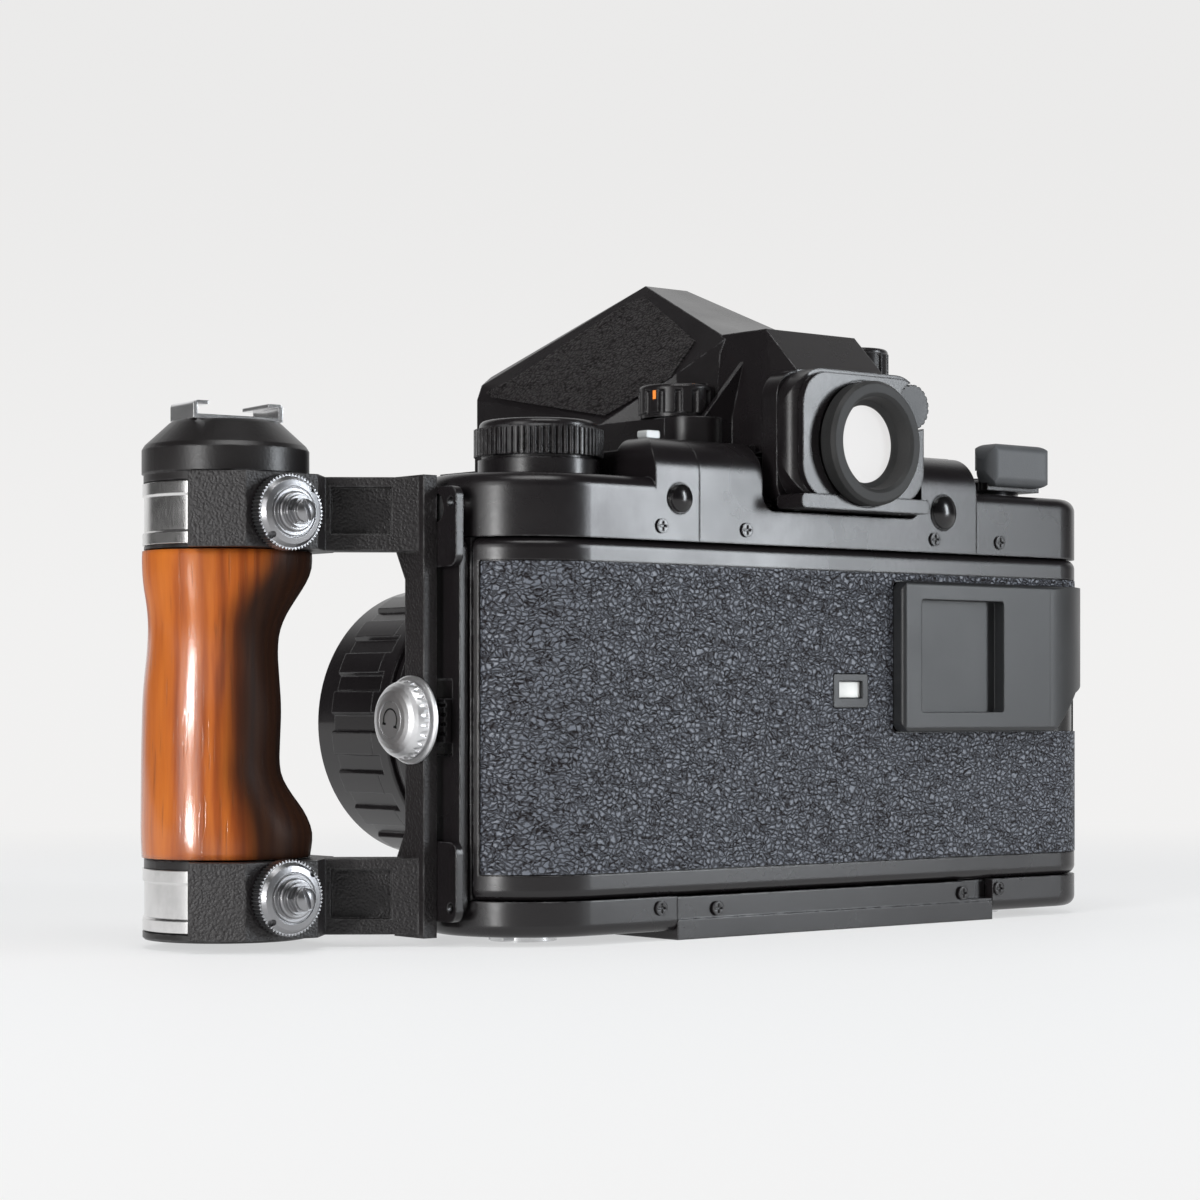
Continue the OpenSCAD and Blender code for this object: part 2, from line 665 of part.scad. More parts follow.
// Film box end holder with its window and thumb bulge
module memo_holder() color(SATIN) difference() {
  intersection() {
    union() {
      along_y(30, back_y + 3.5) difference() {
        soft(-86, 44.4, -16.3, 79, 2.4);
        polygon([[-90, 57], [-77.5, 53.5], [-66.5, 43], [-90, 40]]);
      }
    }
    along_x(-90, 0) soft(20, 44.4, back_y + 3.5, 79, 1.1);
    translate([0, 0, 40]) linear_extrude(42) {
      soft(-66.8, 20, -16.3, back_y + 3.5, 1.1);
      translate([-66.8, back_y - 22.5]) circle(r = 26);
    }
    box([-90, back_y - 7, 40], [0, 60, 90]);
  }
  along_y(back_y + 0.4, 60) soft(-49.7, 48.9, -22.1, 74.9, 0.8);
  intersection() {
    slab(0, 100, 0, 0, -0.02);
    box([-100, 0, 0], [0, 60, 120]);
  }
}

// Film type window of the door
module film_window() color(STEEL) difference() {
  along_y(42, back_y + 0.2) soft(-8, 50, 2.8, 57.6, 0.6);
  along_y(back_y - 0.8, 60) soft(-6.3, 52.1, 1.1, 56, 0.3);
}

// Sprung plate that presses the film against the gate
module pressure_plate() color(BLACK) {
  box([-36.5, film_y + 1.7, 14.5], [36.5, film_y + 3.5, 78.5]);
  for (x = [-26, 26]) rod_y(x, gate_z, film_y + 2.5, 41.2, 2.5);
}

// Plate on the left side that carries the door latch
module latch_panel() color(BLACK) difference() {
  intersection() {
    translate([left_x + left_r - 0.5, 0, 0]) rotate([90, 0, 90]) linear_extrude(2)
      soft(13.5, 6.6, 30.5, 85.4, 2.5);
    box([0, 0, 0], [110, 60, 120]);
  }
  translate([left_x + left_r + 0.7, 19.4, 40]) cube([3, 8.4, 16]);
  rod_x(24.5, 13, 90, 100, 4.5);
  slab(0, 100, 0, 0, -0.05);
}

// Sliding latch of the back door
module door_latch() color(BLACK) difference() {
  box([left_x + left_r + 0.8, 19.6, 42.6], [left_x + left_r + 3.4, 27.6, 52]);
  for (z = [44.2:2:50.2]) box([left_x + left_r + 2.9, 19, z], [110, 28, z + 0.8]);
}

// Pin of the door hinge
module hinge_pin() color(STEEL) post(hinge_x, hinge_y, seam_low + 1.4, seam_high - 1.4, 1.2);

// A spool key: round shaft, disc and folding bail
module spool_key(x, r) {
  post(x, spool_y, 0.4, seam_low + 5.6, 2.9);
  difference() {
    post(x, spool_y, 0, 2.9, r);
    translate([x - r - 1, spool_y + r * 0.3, -1]) cube([2 * r + 2, 2.2, 3.1]);
    translate([x - r - 1, spool_y - r * 0.3 - 2.2, -1]) cube([2 * r + 2, 2.2, 3.1]);
  }
}

// Key under the supply spool
module spool_key_left() color(STEEL) spool_key(spool_x, 7.4);

// Key under the take-up spool
module spool_key_right() color(STEEL) spool_key(take_x, 6.6);

// A roll film spool with a drive slot in its upper flange
module film_spool(x) {
  z0 = seam_low + 6;
  z1 = seam_high - 6;
  difference() {
    union() {
      post(x, spool_y, z0, z1, 6);
      post(x, spool_y, z0, z0 + 1.2, 12.5);
      post(x, spool_y, z1 - 1.2, z1, 12.5);
    }
    post(x, spool_y, 0, 22, 4.6);
    post(x, spool_y, seam_high - 12.4, 100, 4.06);
    box([x - 0.8, spool_y - 10, 26], [x + 0.8, spool_y + 10, 66]);
  }
}

// Spool on the supply side
module supply_spool() color([0.3, 0.3, 0.32]) film_spool(spool_x);

// Spool on the take-up side
module takeup_spool() color([0.3, 0.3, 0.32]) film_spool(take_x);

// Strap lugs at both ends of the top cover
module strap_lugs() color(STEEL) for (s = [0, 1]) {
  x = s == 0 ? left_x + left_r - 0.2 : -86.3;
  translate([x, 24.5, 92]) rotate([0, s == 0 ? 90 : -90, 0]) {
    translate([0, 0, -6]) cylinder(r = 1.55, h = 9);
    translate([0, 0, 0.25]) cylinder(r = 3, h = 0.8);
    translate([0, 0, 2]) cylinder(r = 2.6, h = 1);
  }
}

// Fixed barrel of the lens with its bayonet
module lens_barrel() color(BLACK) lens_ring([[27.5, 48.5], [31.8, 48.5], [32.4, flange_y + 0.05],
  [41, flange_y + 0.05], [41.5, 54], [41.5, 59], [40, 60.5], [36.1, 60.5], [36.1, 74], [36.1, 79],
  [34.9, 79], [34.9, 83.6], [33.3, 83.6], [33.3, 66], [31.1, 66], [31.1, 79], [27.5, 79]]);

// Aperture ring
module aperture_ring() color(BLACK) difference() {
  lens_ring([[36.2, 60.9], [39.2, 60.9], [39.2, 66], [38, 67.2], [38, 74.6], [36.2, 74.6]]);
  for (i = [0:23]) translate([0, 0, axis_z]) rotate([0, i * 15, 0])
    rod_y(40.1, 0, -67, -60, 1.6, $fn = 24);
}

// Scalloped focus ring
module focus_ring() color(BLACK) difference() {
  union() {
    lens_ring([[35, 79.4], [36.9, 79.4], [37.2, 80], [37.2, 86], [36.4, 86.8], [36.4, 87], [35.3, 87],
      [35, 87]]);
    lens_ring([[33.2, 84], [35.2, 84], [35.2, 86], [37, 86.5], [37, 103.6], [36.4, 104], [33.2, 104]]);
  }
  for (i = [0:flutes - 1]) translate([0, -83.4, axis_z]) rotate([90, i * 360 / flutes, 0])
    linear_extrude(21) polygon([[35.75, -1.9], [35.75, 1.9], [38, 3.1], [38, -3.1]]);
}

// Front barrel with the filter thread, sliding inside the focus ring
module front_barrel() color(BLACK) lens_ring([[31.6, 70.5], [32.9, 70.5], [32.9, 104.3], [34.6, 104.3],
  [rim_r, 104.8], [rim_r, flange_y + lens_l - 0.5], [rim_r - 0.4, flange_y + lens_l],
  [filter_r, flange_y + lens_l], [filter_r, flange_y + lens_l - 5],
  [31.4, flange_y + lens_l - 5.2], [30.1, 103], [30.1, 94], [31.6, 92]]);

// Front lens element
module front_glass() color(GLASS) intersection() {
  rod_y(0, axis_z, -106, -94.5, 30);
  translate([0, -35, axis_z]) sphere(r = 70, $fn = 96);
}

// Rear lens element
module rear_glass() color(GLASS) rod_y(0, axis_z, -62, -50.5, 27.4);

// Octagon round the handle axis, cut to the half that faces the camera body
module block_plan(r) {
  translate([grip_x, grip_y]) difference() {
    rotate(22.5) circle(r = r / cos(22.5), $fn = 8);
    rotate(-37.3) translate([6, -40]) square([60, 80]);
    circle(r = grip_r + 0.05, $fn = 128);
  }
}

// Side outline of the bracket strip in Y and Z, wider at both ends
module strip_plan() {
  polygon([[25.4, 1.8], [25.4, 98.8], [15, 98.8], [15, 84], [18.8, 77], [18.8, 24], [15, 17], [15, 1.8]]);
}

// Bracket: strip, two channel arms and two half-round clamp blocks
module grip_bracket() color([0.09, 0.09, 0.09]) difference() {
  union() {
    along_x(99.2, 102.6) strip_plan();
    for (z = [[2.6, 18.5], [82.9, 98.3]]) {
      translate([0, 0, z[0]]) linear_extrude(z[1] - z[0]) {
        block_plan(21.3);
        difference() {
          translate([grip_x, grip_y]) rotate(-37.3) translate([-41.5, -3.6]) square([24, 7.4]);
          translate([grip_x, grip_y]) circle(r = grip_r + 0.05, $fn = 128);
          translate([80, -20]) square([19.2, 80]);
        }
      }
    }
  }
  // Channels on both sides of the arms
  for (z = [[5.9, 16.2], [86.4, 96.2]], s = [0, 1])
    translate([grip_x, grip_y, z[0]]) rotate([0, 0, -37.3])
      translate([-34.8, s == 0 ? 1.6 : -5.6, 0]) cube([12.6, 4, z[1] - z[0]]);
  // Holes of the mounting knob, strap lugs and clamp knobs
  rod_x(22, 47.5, 90, 110, 3.05);
  for (z = [90, 11.3]) rod_y(grip_x, z, 10, 20, 2.55);
  for (z = [93, 8]) rod_x(30, z, 98, 103, 1.2);
}

// Plates that hook the bracket to the camera's side
module hook_plates() color(BLACK) for (z = [79.6, 5.2]) {
  difference() {
    union() {
      along_x(97.2, 99.1) soft(18.8, z, 32, z + 16.8, 2.4);
      rod_x(24.5, z == 5.2 ? 13 : 92, 95.65, 98, 4.4);
    }
    if (z > 50) rod_x(24.5, 92, 90, 100, 3.15);
    rod_x(30, z == 5.2 ? 8.2 : 93, 90, 110, 1.1);
  }
}

// Mounting knob on the bracket strip
module mount_knob() color(STEEL) {
  rod_x(22, 47.5, 99.3, 103.5, 3);
  translate([102.9, 22, 47.5]) rotate([0, 90, 0]) {
    rotate_extrude() polygon([[0, 0], [8.9, 0], [9.3, 0.3], [9.3, 0.8], [8.9, 1.1], [7.7, 1.1],
      [7.7, 2], [0, 2]]);
    translate([0, 0, 1.6]) difference() {
      rotate_extrude() polygon([[0, 0], [8.2, 0], [8.4, 0.3], [8.2, 1.4], [7.7, 2.5], [7, 3.3],
        [6.1, 3.9], [5, 4.2],
        [3.9, 4.3], [3.9, 4.0], [3.75, 4.0], [3.75, 4.25], [0, 4.25]]);
      for (i = [0:25]) rotate([0, 0, i * 360 / 26]) translate([8.75, 0, 0.45]) cylinder(r = 0.85, h = 6,
        $fn = 20);
    }
  }
}

// Chrome bands round the handle collars
module clamp_bands() color(STEEL) for (z = [3.8, 83.8]) translate([grip_x, grip_y, z])
  rotate_extrude($fn = 128) polygon([[16.45, 0], [17.3, 0], [17.3, 2.4], [16.95, 2.8], [16.95, 9.9],
    [17.3, 10.3], [17.3, 12.8], [16.45, 12.8]]);

// A clamp knob: ribbed disc, two edge notches, hub and post
module clamp_knob(z) translate([grip_x, grip_y + 21.8, z]) rotate([-90, 0, 0]) difference() {
  union() {
    translate([0, 0, -3.6]) cylinder(r = 2.5, h = 4);
    linear_extrude(2.7) teeth(7.35, 7.85, 60, 0.2);
    translate([0, 0, 2.6]) rotate_extrude() polygon([[0, 0], [7.35, 0], [6.6, 1], [5.3, 1.3],
      [5.2, 1.1], [5, 1.1],
      [4.9, 1.5], [0, 1.5]]);
    translate([0, 0, 3.5]) rotate_extrude() edge(4.1, 0, 1.8, 0.4, 0);
    cylinder(r = 3.3, h = 6.3);
    translate([0, 0, 6]) cylinder(r = 2.9, h = 1.5, $fn = 6);
    intersection() {
      cylinder(r = 2.3, h = 12);
      translate([0, 0, 4.9]) sphere(r = 4.1);
    }
  }
  for (a = [45, 225]) rotate([0, 0, a]) translate([6.9, 0, 2]) cylinder(r = 0.75, h = 8, $fn = 24);
  rotate([0, 0, 20]) translate([-0.4, -4, 8]) cube([0.8, 8, 3]);
}

// Upper clamp knob
module clamp_knob_upper() color(STEEL) clamp_knob(90);

// Lower clamp knob
module clamp_knob_lower() color(STEEL) clamp_knob(11.3);

// Outer and inner half widths of the carved wood at a height
function outer_w(z) = lookup(z, [[18, 17.2], [22, 17.6], [41, 17.5], [53, 17.2], [63, 16.1],
  [69, 15.9], [78, 17.4], [83, 17.2]]);
function inner_w(z) = lookup(z, [[18, 17.2], [22, 18.4], [26, 17.7], [30, 15.2], [34, 12], [37, 11],
  [43, 11.2], [50, 11.5], [57, 11], [63, 10.6], [68, 11.4], [73, 14.6], [78, 17.9], [81, 18.3], [83, 17.8]]);
function soft_w(f, z) = (f == 0)
  ? (outer_w(z - 3) + outer_w(z - 1) + outer_w(z + 1) + outer_w(z + 3)) / 4
  : (inner_w(z - 2.4) + inner_w(z - 0.8) + inner_w(z + 0.8) + inner_w(z + 2.4)) / 4;
function deep_w(z) = 17.2 - 1.1 * pow(sin((z - wood_low) * 180 / (wood_top - wood_low)), 2);

// Carved wooden handle: rings of points with a different width on each side
module wood_handle() color(WOOD) difference() {
  translate([grip_x, grip_y, 0]) rotate([0, 0, -39.7]) {
    n = 48;
    m = 40;
    step = (wood_top - wood_low) / m;
    pts = [for (k = [0:m]) let (z = wood_low + k * step) for (i = [0:n - 1])
      let (a = i * 360 / n, w = cos(a) > 0 ? soft_w(0, z) : soft_w(1, z), c = cos(a), s = sin(a))
      [w * sign(c) * pow(abs(c), 0.86), deep_w(z) * sign(s) * pow(abs(s), 0.86), z]];
    sides = [for (k = [0:m - 1]) for (i = [0:n - 1])
      let (a = k * n + i, b = k * n + (i + 1) % n) [a, a + n, b + n, b]];
    polyhedron(points = pts, faces = concat(sides, [[for (i = [0:n - 1]) i]],
      [[for (i = [0:n - 1]) m * n + n - 1 - i]]));
  }
  translate([grip_x, grip_y, 0]) cylinder(r = 6.05, h = 120);
}

// Handle core: base, collars, rod and shouldered cap
module handle_core() color(BLACK) translate([grip_x, grip_y, 0]) {
  rotate_extrude($fn = 128) polygon([[0, 1.8], [16.9, 1.8], [17.3, 2.2], [17.3, 3.4], [16.4, 3.6],
    [16.4, 16.7],
    [17, 16.7], [17, 18.5], [6, 18.5], [6, 83], [17, 83], [17, 83.6], [16.4, 83.6], [16.4, 96.9],
      [17.1, 96.9],
    [17.1, 98.6], [17.5, 98.8], [17.5, 103.8], [16.9, 104.8], [11.9, 109.4], [11.2, 109.9], [0, 109.9]]);
}

// Accessory shoe: two folded rails on a plate, open to the front and rear
module accessory_shoe() color(STEEL) translate([grip_x, grip_y, 109.95]) rotate([0, 0,
  shoe_turn]) difference() {
  along_y(-6.1, 6.1) difference() {
    soft(-10.3, -2, 10.3, 3.75, 0.9);
    translate([-12, -3]) square([24, 3]);
    translate([-9.35, 0.95]) square([18.7, 2.05]);
    translate([-6.9, 0.95]) square([13.8, 5]);
  }
  for (x = [-5, 5]) translate([x, 0, -1]) cylinder(r = 1.5, h = 4);
  for (s = [-1, 1]) translate([s * 12.3, -6.1, -1]) rotate([0, 0, 45]) cube([4.2, 4.2, 12], center = true);
}

// Small screws on the rear of the covers
module screws() color(SATIN) for (s = SCREWS) rear_screw(s[0], back_y - (abs(s[0]) > 60 ? 1 : 0), s[1]);

body_casting();
top_cover_left();
top_cover_center();
top_cover_right();
bottom_cover();
base_plate();
front_leather();
hand_grip();
lens_mount_ring();
shutter_curtains();
film_roller();
reflex_mirror();
focusing_screen();
pentaprism();
finder_housing();
finder_leather();
eyepiece_block();
eyepiece_lens();
eyecup();
compensation_dial();
metering_dial();
diopter_wheel();
shutter_dial();
dial_lock_button();
speed_button();
memory_button();
advance_lever();
lever_pad();
shutter_release();
power_switch();
display_windows();
back_door();
door_leather();
memo_holder();
film_window();
pressure_plate();
latch_panel();
door_latch();
hinge_pin();
spool_key_left();
spool_key_right();
supply_spool();
takeup_spool();
strap_lugs();
lens_barrel();
focus_ring();
aperture_ring();
front_barrel();
front_glass();
rear_glass();
grip_bracket();
hook_plates();
mount_knob();
clamp_bands();
clamp_knob_upper();
clamp_knob_lower();
wood_handle();
handle_core();
accessory_shoe();
screws();
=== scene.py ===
"""Looks of the medium format camera with its wooden side grip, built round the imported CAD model."""

import json
import math

import bmesh
import bpy
from mathutils import Matrix, Vector


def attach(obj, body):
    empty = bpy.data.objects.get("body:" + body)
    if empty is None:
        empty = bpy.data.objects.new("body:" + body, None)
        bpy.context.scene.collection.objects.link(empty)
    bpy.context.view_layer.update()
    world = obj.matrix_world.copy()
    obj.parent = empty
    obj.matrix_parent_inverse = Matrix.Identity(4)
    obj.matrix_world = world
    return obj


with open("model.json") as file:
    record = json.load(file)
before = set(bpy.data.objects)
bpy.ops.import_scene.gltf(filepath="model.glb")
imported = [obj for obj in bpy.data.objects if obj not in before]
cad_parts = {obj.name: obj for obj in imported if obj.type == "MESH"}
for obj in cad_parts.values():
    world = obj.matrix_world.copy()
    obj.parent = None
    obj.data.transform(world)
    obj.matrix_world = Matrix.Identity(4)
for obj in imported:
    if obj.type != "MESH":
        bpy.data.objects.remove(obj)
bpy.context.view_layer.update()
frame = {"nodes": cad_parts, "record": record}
nodes = frame["nodes"]
MM = 0.001


# ---- node helpers ----


def add(tree, kind, inputs=None, **settings):
    """A new shader node with its settings and inputs. An input is a value or another node's output."""
    n = tree.nodes.new("ShaderNode" + kind)
    for k, v in settings.items():
        setattr(n, k, v)
    for k, v in (inputs or {}).items():
        if isinstance(v, bpy.types.NodeSocket):
            tree.links.new(v, n.inputs[k])
        else:
            n.inputs[k].default_value = v
    return n


def finish(name, **values):
    """A material with its Principled shader, whose plain numbers are set on its sockets."""
    m = bpy.data.materials.new(name)
    m.use_nodes = True
    shader = m.node_tree.nodes["Principled BSDF"]
    for k, v in values.items():
        shader.inputs[k.replace("_", " ")].default_value = v
    return m, m.node_tree, shader


def place(tree, scale=(1, 1, 1), turn=(0, 0, 0)):
    """Coordinates in the object's own frame, in metres, stretched as asked."""
    c = add(tree, "TexCoord")
    return add(tree, "Mapping", {"Vector": c.outputs["Object"], "Scale": scale, "Rotation": turn}).outputs[0]


def noise(tree, where, scale, detail=3.0, rough=0.5, warp=0.0):
    """Smooth noise between 0 and 1."""
    return add(
        tree, "TexNoise",
        {"Vector": where, "Scale": scale, "Detail": detail, "Roughness": rough, "Distortion": warp},
    ).outputs["Fac"]


def span(tree, value, lo, hi, to_lo, to_hi, kind="LINEAR"):
    """value taken from the range lo to hi onto to_lo to to_hi."""
    return add(
        tree, "MapRange",
        {"Value": value, "From Min": lo, "From Max": hi, "To Min": to_lo, "To Max": to_hi},
        interpolation_type=kind,
    ).outputs[0]


def maths(tree, op, a, b=0.0):
    """One sum."""
    return add(tree, "Math", {0: a, 1: b}, operation=op).outputs[0]


def blend(tree, factor, a, b):
    """Colour a at factor 0 and b at factor 1."""
    n = add(tree, "Mix", {"Factor": factor}, data_type="RGBA")
    for k, v in ((6, a), (7, b)):
        if isinstance(v, bpy.types.NodeSocket):
            tree.links.new(v, n.inputs[k])
        else:
            n.inputs[k].default_value = (*v, 1.0)
    return n.outputs[2]


def ramp(tree, value, stops):
    """A colour ramp through (place, colour) stops."""
    n = add(tree, "ValToRGB", {"Fac": value})
    r = n.color_ramp
    while len(r.elements) < len(stops):
        r.elements.new(0.5)
    for e, (at, col) in zip(r.elements, stops):
        e.position = at
        e.color = (*col, 1.0)
    return n.outputs[0]


def bump(tree, height, depth, strength=1.0, base=None):
    """A bump of that depth in metres."""
    ins = {"Height": height, "Distance": depth, "Strength": strength}
    if base is not None:
        ins["Normal"] = base
    return add(tree, "Bump", ins).outputs[0]


def wire(tree, shader, **links):
    """Joins outputs to the shader's inputs."""
    for k, v in links.items():
        tree.links.new(v, shader.inputs[k.replace("_", " ")])


def dot(tree, a, b):
    """The dot product of two vectors."""
    return add(tree, "VectorMath", {0: a, 1: b}, operation="DOT_PRODUCT").outputs["Value"]


def edge_mask(tree, radius, where):
    """1 on convex edges and 0 elsewhere, broken up by noise: worn edges, and in paint also painted edge
    highlight.
    """
    soft = add(tree, "Bevel", {"Radius": radius}, samples=4).outputs[0]
    facing = dot(tree, soft, add(tree, "NewGeometry").outputs["Normal"])
    edge = span(tree, facing, 0.985, 0.90, 0.0, 1.0, "SMOOTHSTEP")
    rub = span(tree, noise(tree, where, 240, 4, 0.6), 0.46, 0.62, 0.0, 1.0)
    return maths(tree, "MULTIPLY", edge, rub), soft


# ---- materials ----


# Lighter grey for the paint's convex edges: rubbed wear, and painted highlight along the edges.
EDGE_RUB_AND_HIGHLIGHT = (0.16, 0.16, 0.165)
WORN_CASTING = (0.2, 0.2, 0.2)


def paint(name, colour, rough, edge_rub_and_highlight=0.5, grain=900.0, depth=0.00001):
    """Baked enamel on metal: a faint orange peel, uneven gloss, and lighter convex edges that are rubbed wear
    and painted edge highlight.
    """
    m, t, s = finish(name, Specular_IOR_Level=0.5)
    w = place(t)
    mask, soft = edge_mask(t, 0.0005, w)
    peel = noise(t, w, grain, 2)
    smear = noise(t, w, 38, 4, 0.6)
    shade = blend(t, span(t, smear, 0.3, 0.7, 0.0, 1.0), colour, tuple(c * 1.35 for c in colour))
    wire(
        t, s,
        Base_Color=blend(t, maths(t, "MULTIPLY", mask, edge_rub_and_highlight), shade, EDGE_RUB_AND_HIGHLIGHT),
        Roughness=span(t, smear, 0.25, 0.75, rough - 0.05, rough + 0.07),
        Normal=bump(t, peel, depth, 1.0, soft),
    )
    return m


STRAIGHT_END = 0.0735  # where the door's straight back turns into a round end
END_CENTRE_Y = 0.023
END_RADIUS = 0.022


def unrolled(tree):
    """Metres along the body's skin and up it, the round ends unrolled."""
    at = add(tree, "SeparateXYZ", {0: place(tree)})
    x, y, z = at.outputs
    past = maths(tree, "MAXIMUM", maths(tree, "SUBTRACT", maths(tree, "ABSOLUTE", x), STRAIGHT_END), 0.0)
    angle = maths(tree, "ARCTAN2", past, maths(tree, "SUBTRACT", y, END_CENTRE_Y))
    turn = maths(tree, "MULTIPLY", angle, END_RADIUS)
    flat = maths(tree, "MINIMUM", maths(tree, "MAXIMUM", x, -STRAIGHT_END), STRAIGHT_END)
    along = maths(tree, "ADD", flat, maths(tree, "MULTIPLY", turn, maths(tree, "SIGN", x)))
    return add(tree, "CombineXYZ", {0: along, 1: z, 2: 0.0}).outputs[0]


def sideways(tree):
    """Metres to the rear and up, for skins on the sides."""
    at = add(tree, "SeparateXYZ", {0: place(tree)})
    return add(tree, "CombineXYZ", {0: at.outputs[1], 1: at.outputs[2], 2: 0.0}).outputs[0]


def leather(name, high, low, skin, cell, depth, tilt=-0.2):
    """Pebbled leatherette: small domed grains, a little wider than high, with longer slanting creases.

    The specular level follows the grain's height, lower in the creases.
    """
    m, t, s = finish(name, Specular_IOR_Level=0.5)
    stretch = {"Vector": skin(t), "Scale": (0.64, 0.84, 1.0), "Rotation": (0, 0, tilt)}
    w = add(t, "Mapping", stretch).outputs[0]
    bent = w
    for scale, reach in ((300.0, 0.0016), (1500.0, 0.0006)):
        waves = {"Vector": w, "Scale": scale, "Detail": 1.0}
        drift = add(t, "TexNoise", waves, noise_dimensions="2D").outputs["Color"]
        shift = add(t, "VectorMath", {0: drift, 1: (reach, reach, 0.0)}, operation="MULTIPLY").outputs[0]
        bent = add(t, "VectorMath", {0: bent, 1: shift}, operation="ADD").outputs[0]
    cells = {"Vector": bent, "Scale": cell}
    grains = add(t, "TexVoronoi", cells, feature="DISTANCE_TO_EDGE", voronoi_dimensions="2D")
    slanted = {"Vector": bent, "Scale": (0.6, 1.25, 1.0), "Rotation": (0, 0, -0.75)}
    creases = {"Vector": add(t, "Mapping", slanted).outputs[0], "Scale": cell * 0.5, "Detail": 2.0}
    lines = add(t, "TexNoise", creases, noise_dimensions="2D").outputs["Fac"]
    lines = maths(t, "ABSOLUTE", maths(t, "SUBTRACT", lines, 0.5))
    dome = span(t, grains.outputs["Distance"], 0.0, 0.34, 0.25, 1.0, "SMOOTHSTEP")
    wrinkle = span(t, lines, 0.0, 0.06, 0.3, 1.0, "SMOOTHSTEP")
    rise = span(t, noise(t, w, 330, 2), 0.25, 0.75, 0.82, 1.0)
    height = maths(t, "MULTIPLY", maths(t, "MULTIPLY", dome, wrinkle), rise)
    # Painted shade: the colour darkens down into the creases and lightens on the grain tops, along with the
    # real bump.
    wire(
        t, s,
        Base_Color=blend(t, span(t, height, 0.1, 0.8, 0.0, 1.0), low, high),
        Specular_IOR_Level=span(t, height, 0.1, 0.7, 0.12, 0.6),
        Roughness=span(t, height, 0.1, 1.0, 0.6, 0.42),
        Normal=bump(t, height, depth),
    )
    return m


def crackle(name, colour):
    """Coarse wrinkle paint on the bracket's castings."""
    m, t, s = finish(name, Specular_IOR_Level=0.5)
    w = place(t)
    mask, soft = edge_mask(t, 0.0006, w)
    cells = add(t, "TexVoronoi", {"Vector": w, "Scale": 1900.0}, feature="SMOOTH_F1").outputs["Distance"]
    height = maths(t, "ADD", cells, maths(t, "MULTIPLY", noise(t, w, 2600, 3), 0.6))
    shade = blend(t, height, colour, tuple(c * 1.7 for c in colour))
    wire(
        t, s,
        Base_Color=blend(t, maths(t, "MULTIPLY", mask, 0.35), shade, WORN_CASTING),
        Roughness=span(t, height, 0.3, 1.2, 0.36, 0.52),
        Normal=bump(t, height, 0.00013, 1.0, soft),
    )
    return m


def metal(name, colour, rough, brushed=(1, 1, 1), scratch=0.000004):
    """Bare or plated metal with fine brushing, and smears and darker tarnish in noise patches."""
    m, t, s = finish(name, Metallic=1.0)
    w = place(t, brushed)
    lines = noise(t, w, 2400, 3, 0.6)
    smear = noise(t, place(t), 70, 4, 0.65)
    soft = add(t, "Bevel", {"Radius": 0.0003}, samples=4).outputs[0]
    handled = span(t, smear, 0.2, 0.8, rough - 0.06, rough + 0.08)
    wire(
        t, s,
        Base_Color=blend(t, span(t, smear, 0.35, 0.75, 0.0, 1.0), colour, tuple(c * 0.82 for c in colour)),
        Roughness=maths(t, "ADD", handled, span(t, lines, 0.3, 0.7, -0.02, 0.04)),
        Normal=bump(t, lines, scratch, 1.0, soft),
    )
    return m


ACROSS = (-0.7694, 0.6388, 0.0)  # the grip's own sideways direction, from palm to fingers
AXIS_ACROSS = 0.1045  # how far the handle's axis lies back along it
FINGER_SHADE_AND_STAIN = (0.010, 0.0065, 0.005)
WOOD_TONES = [
    (0.2, (0.12, 0.022, 0.004)),
    (0.4, (0.25, 0.052, 0.007)),
    (0.58, (0.35, 0.084, 0.010)),
    (0.8, (0.43, 0.118, 0.015)),
]


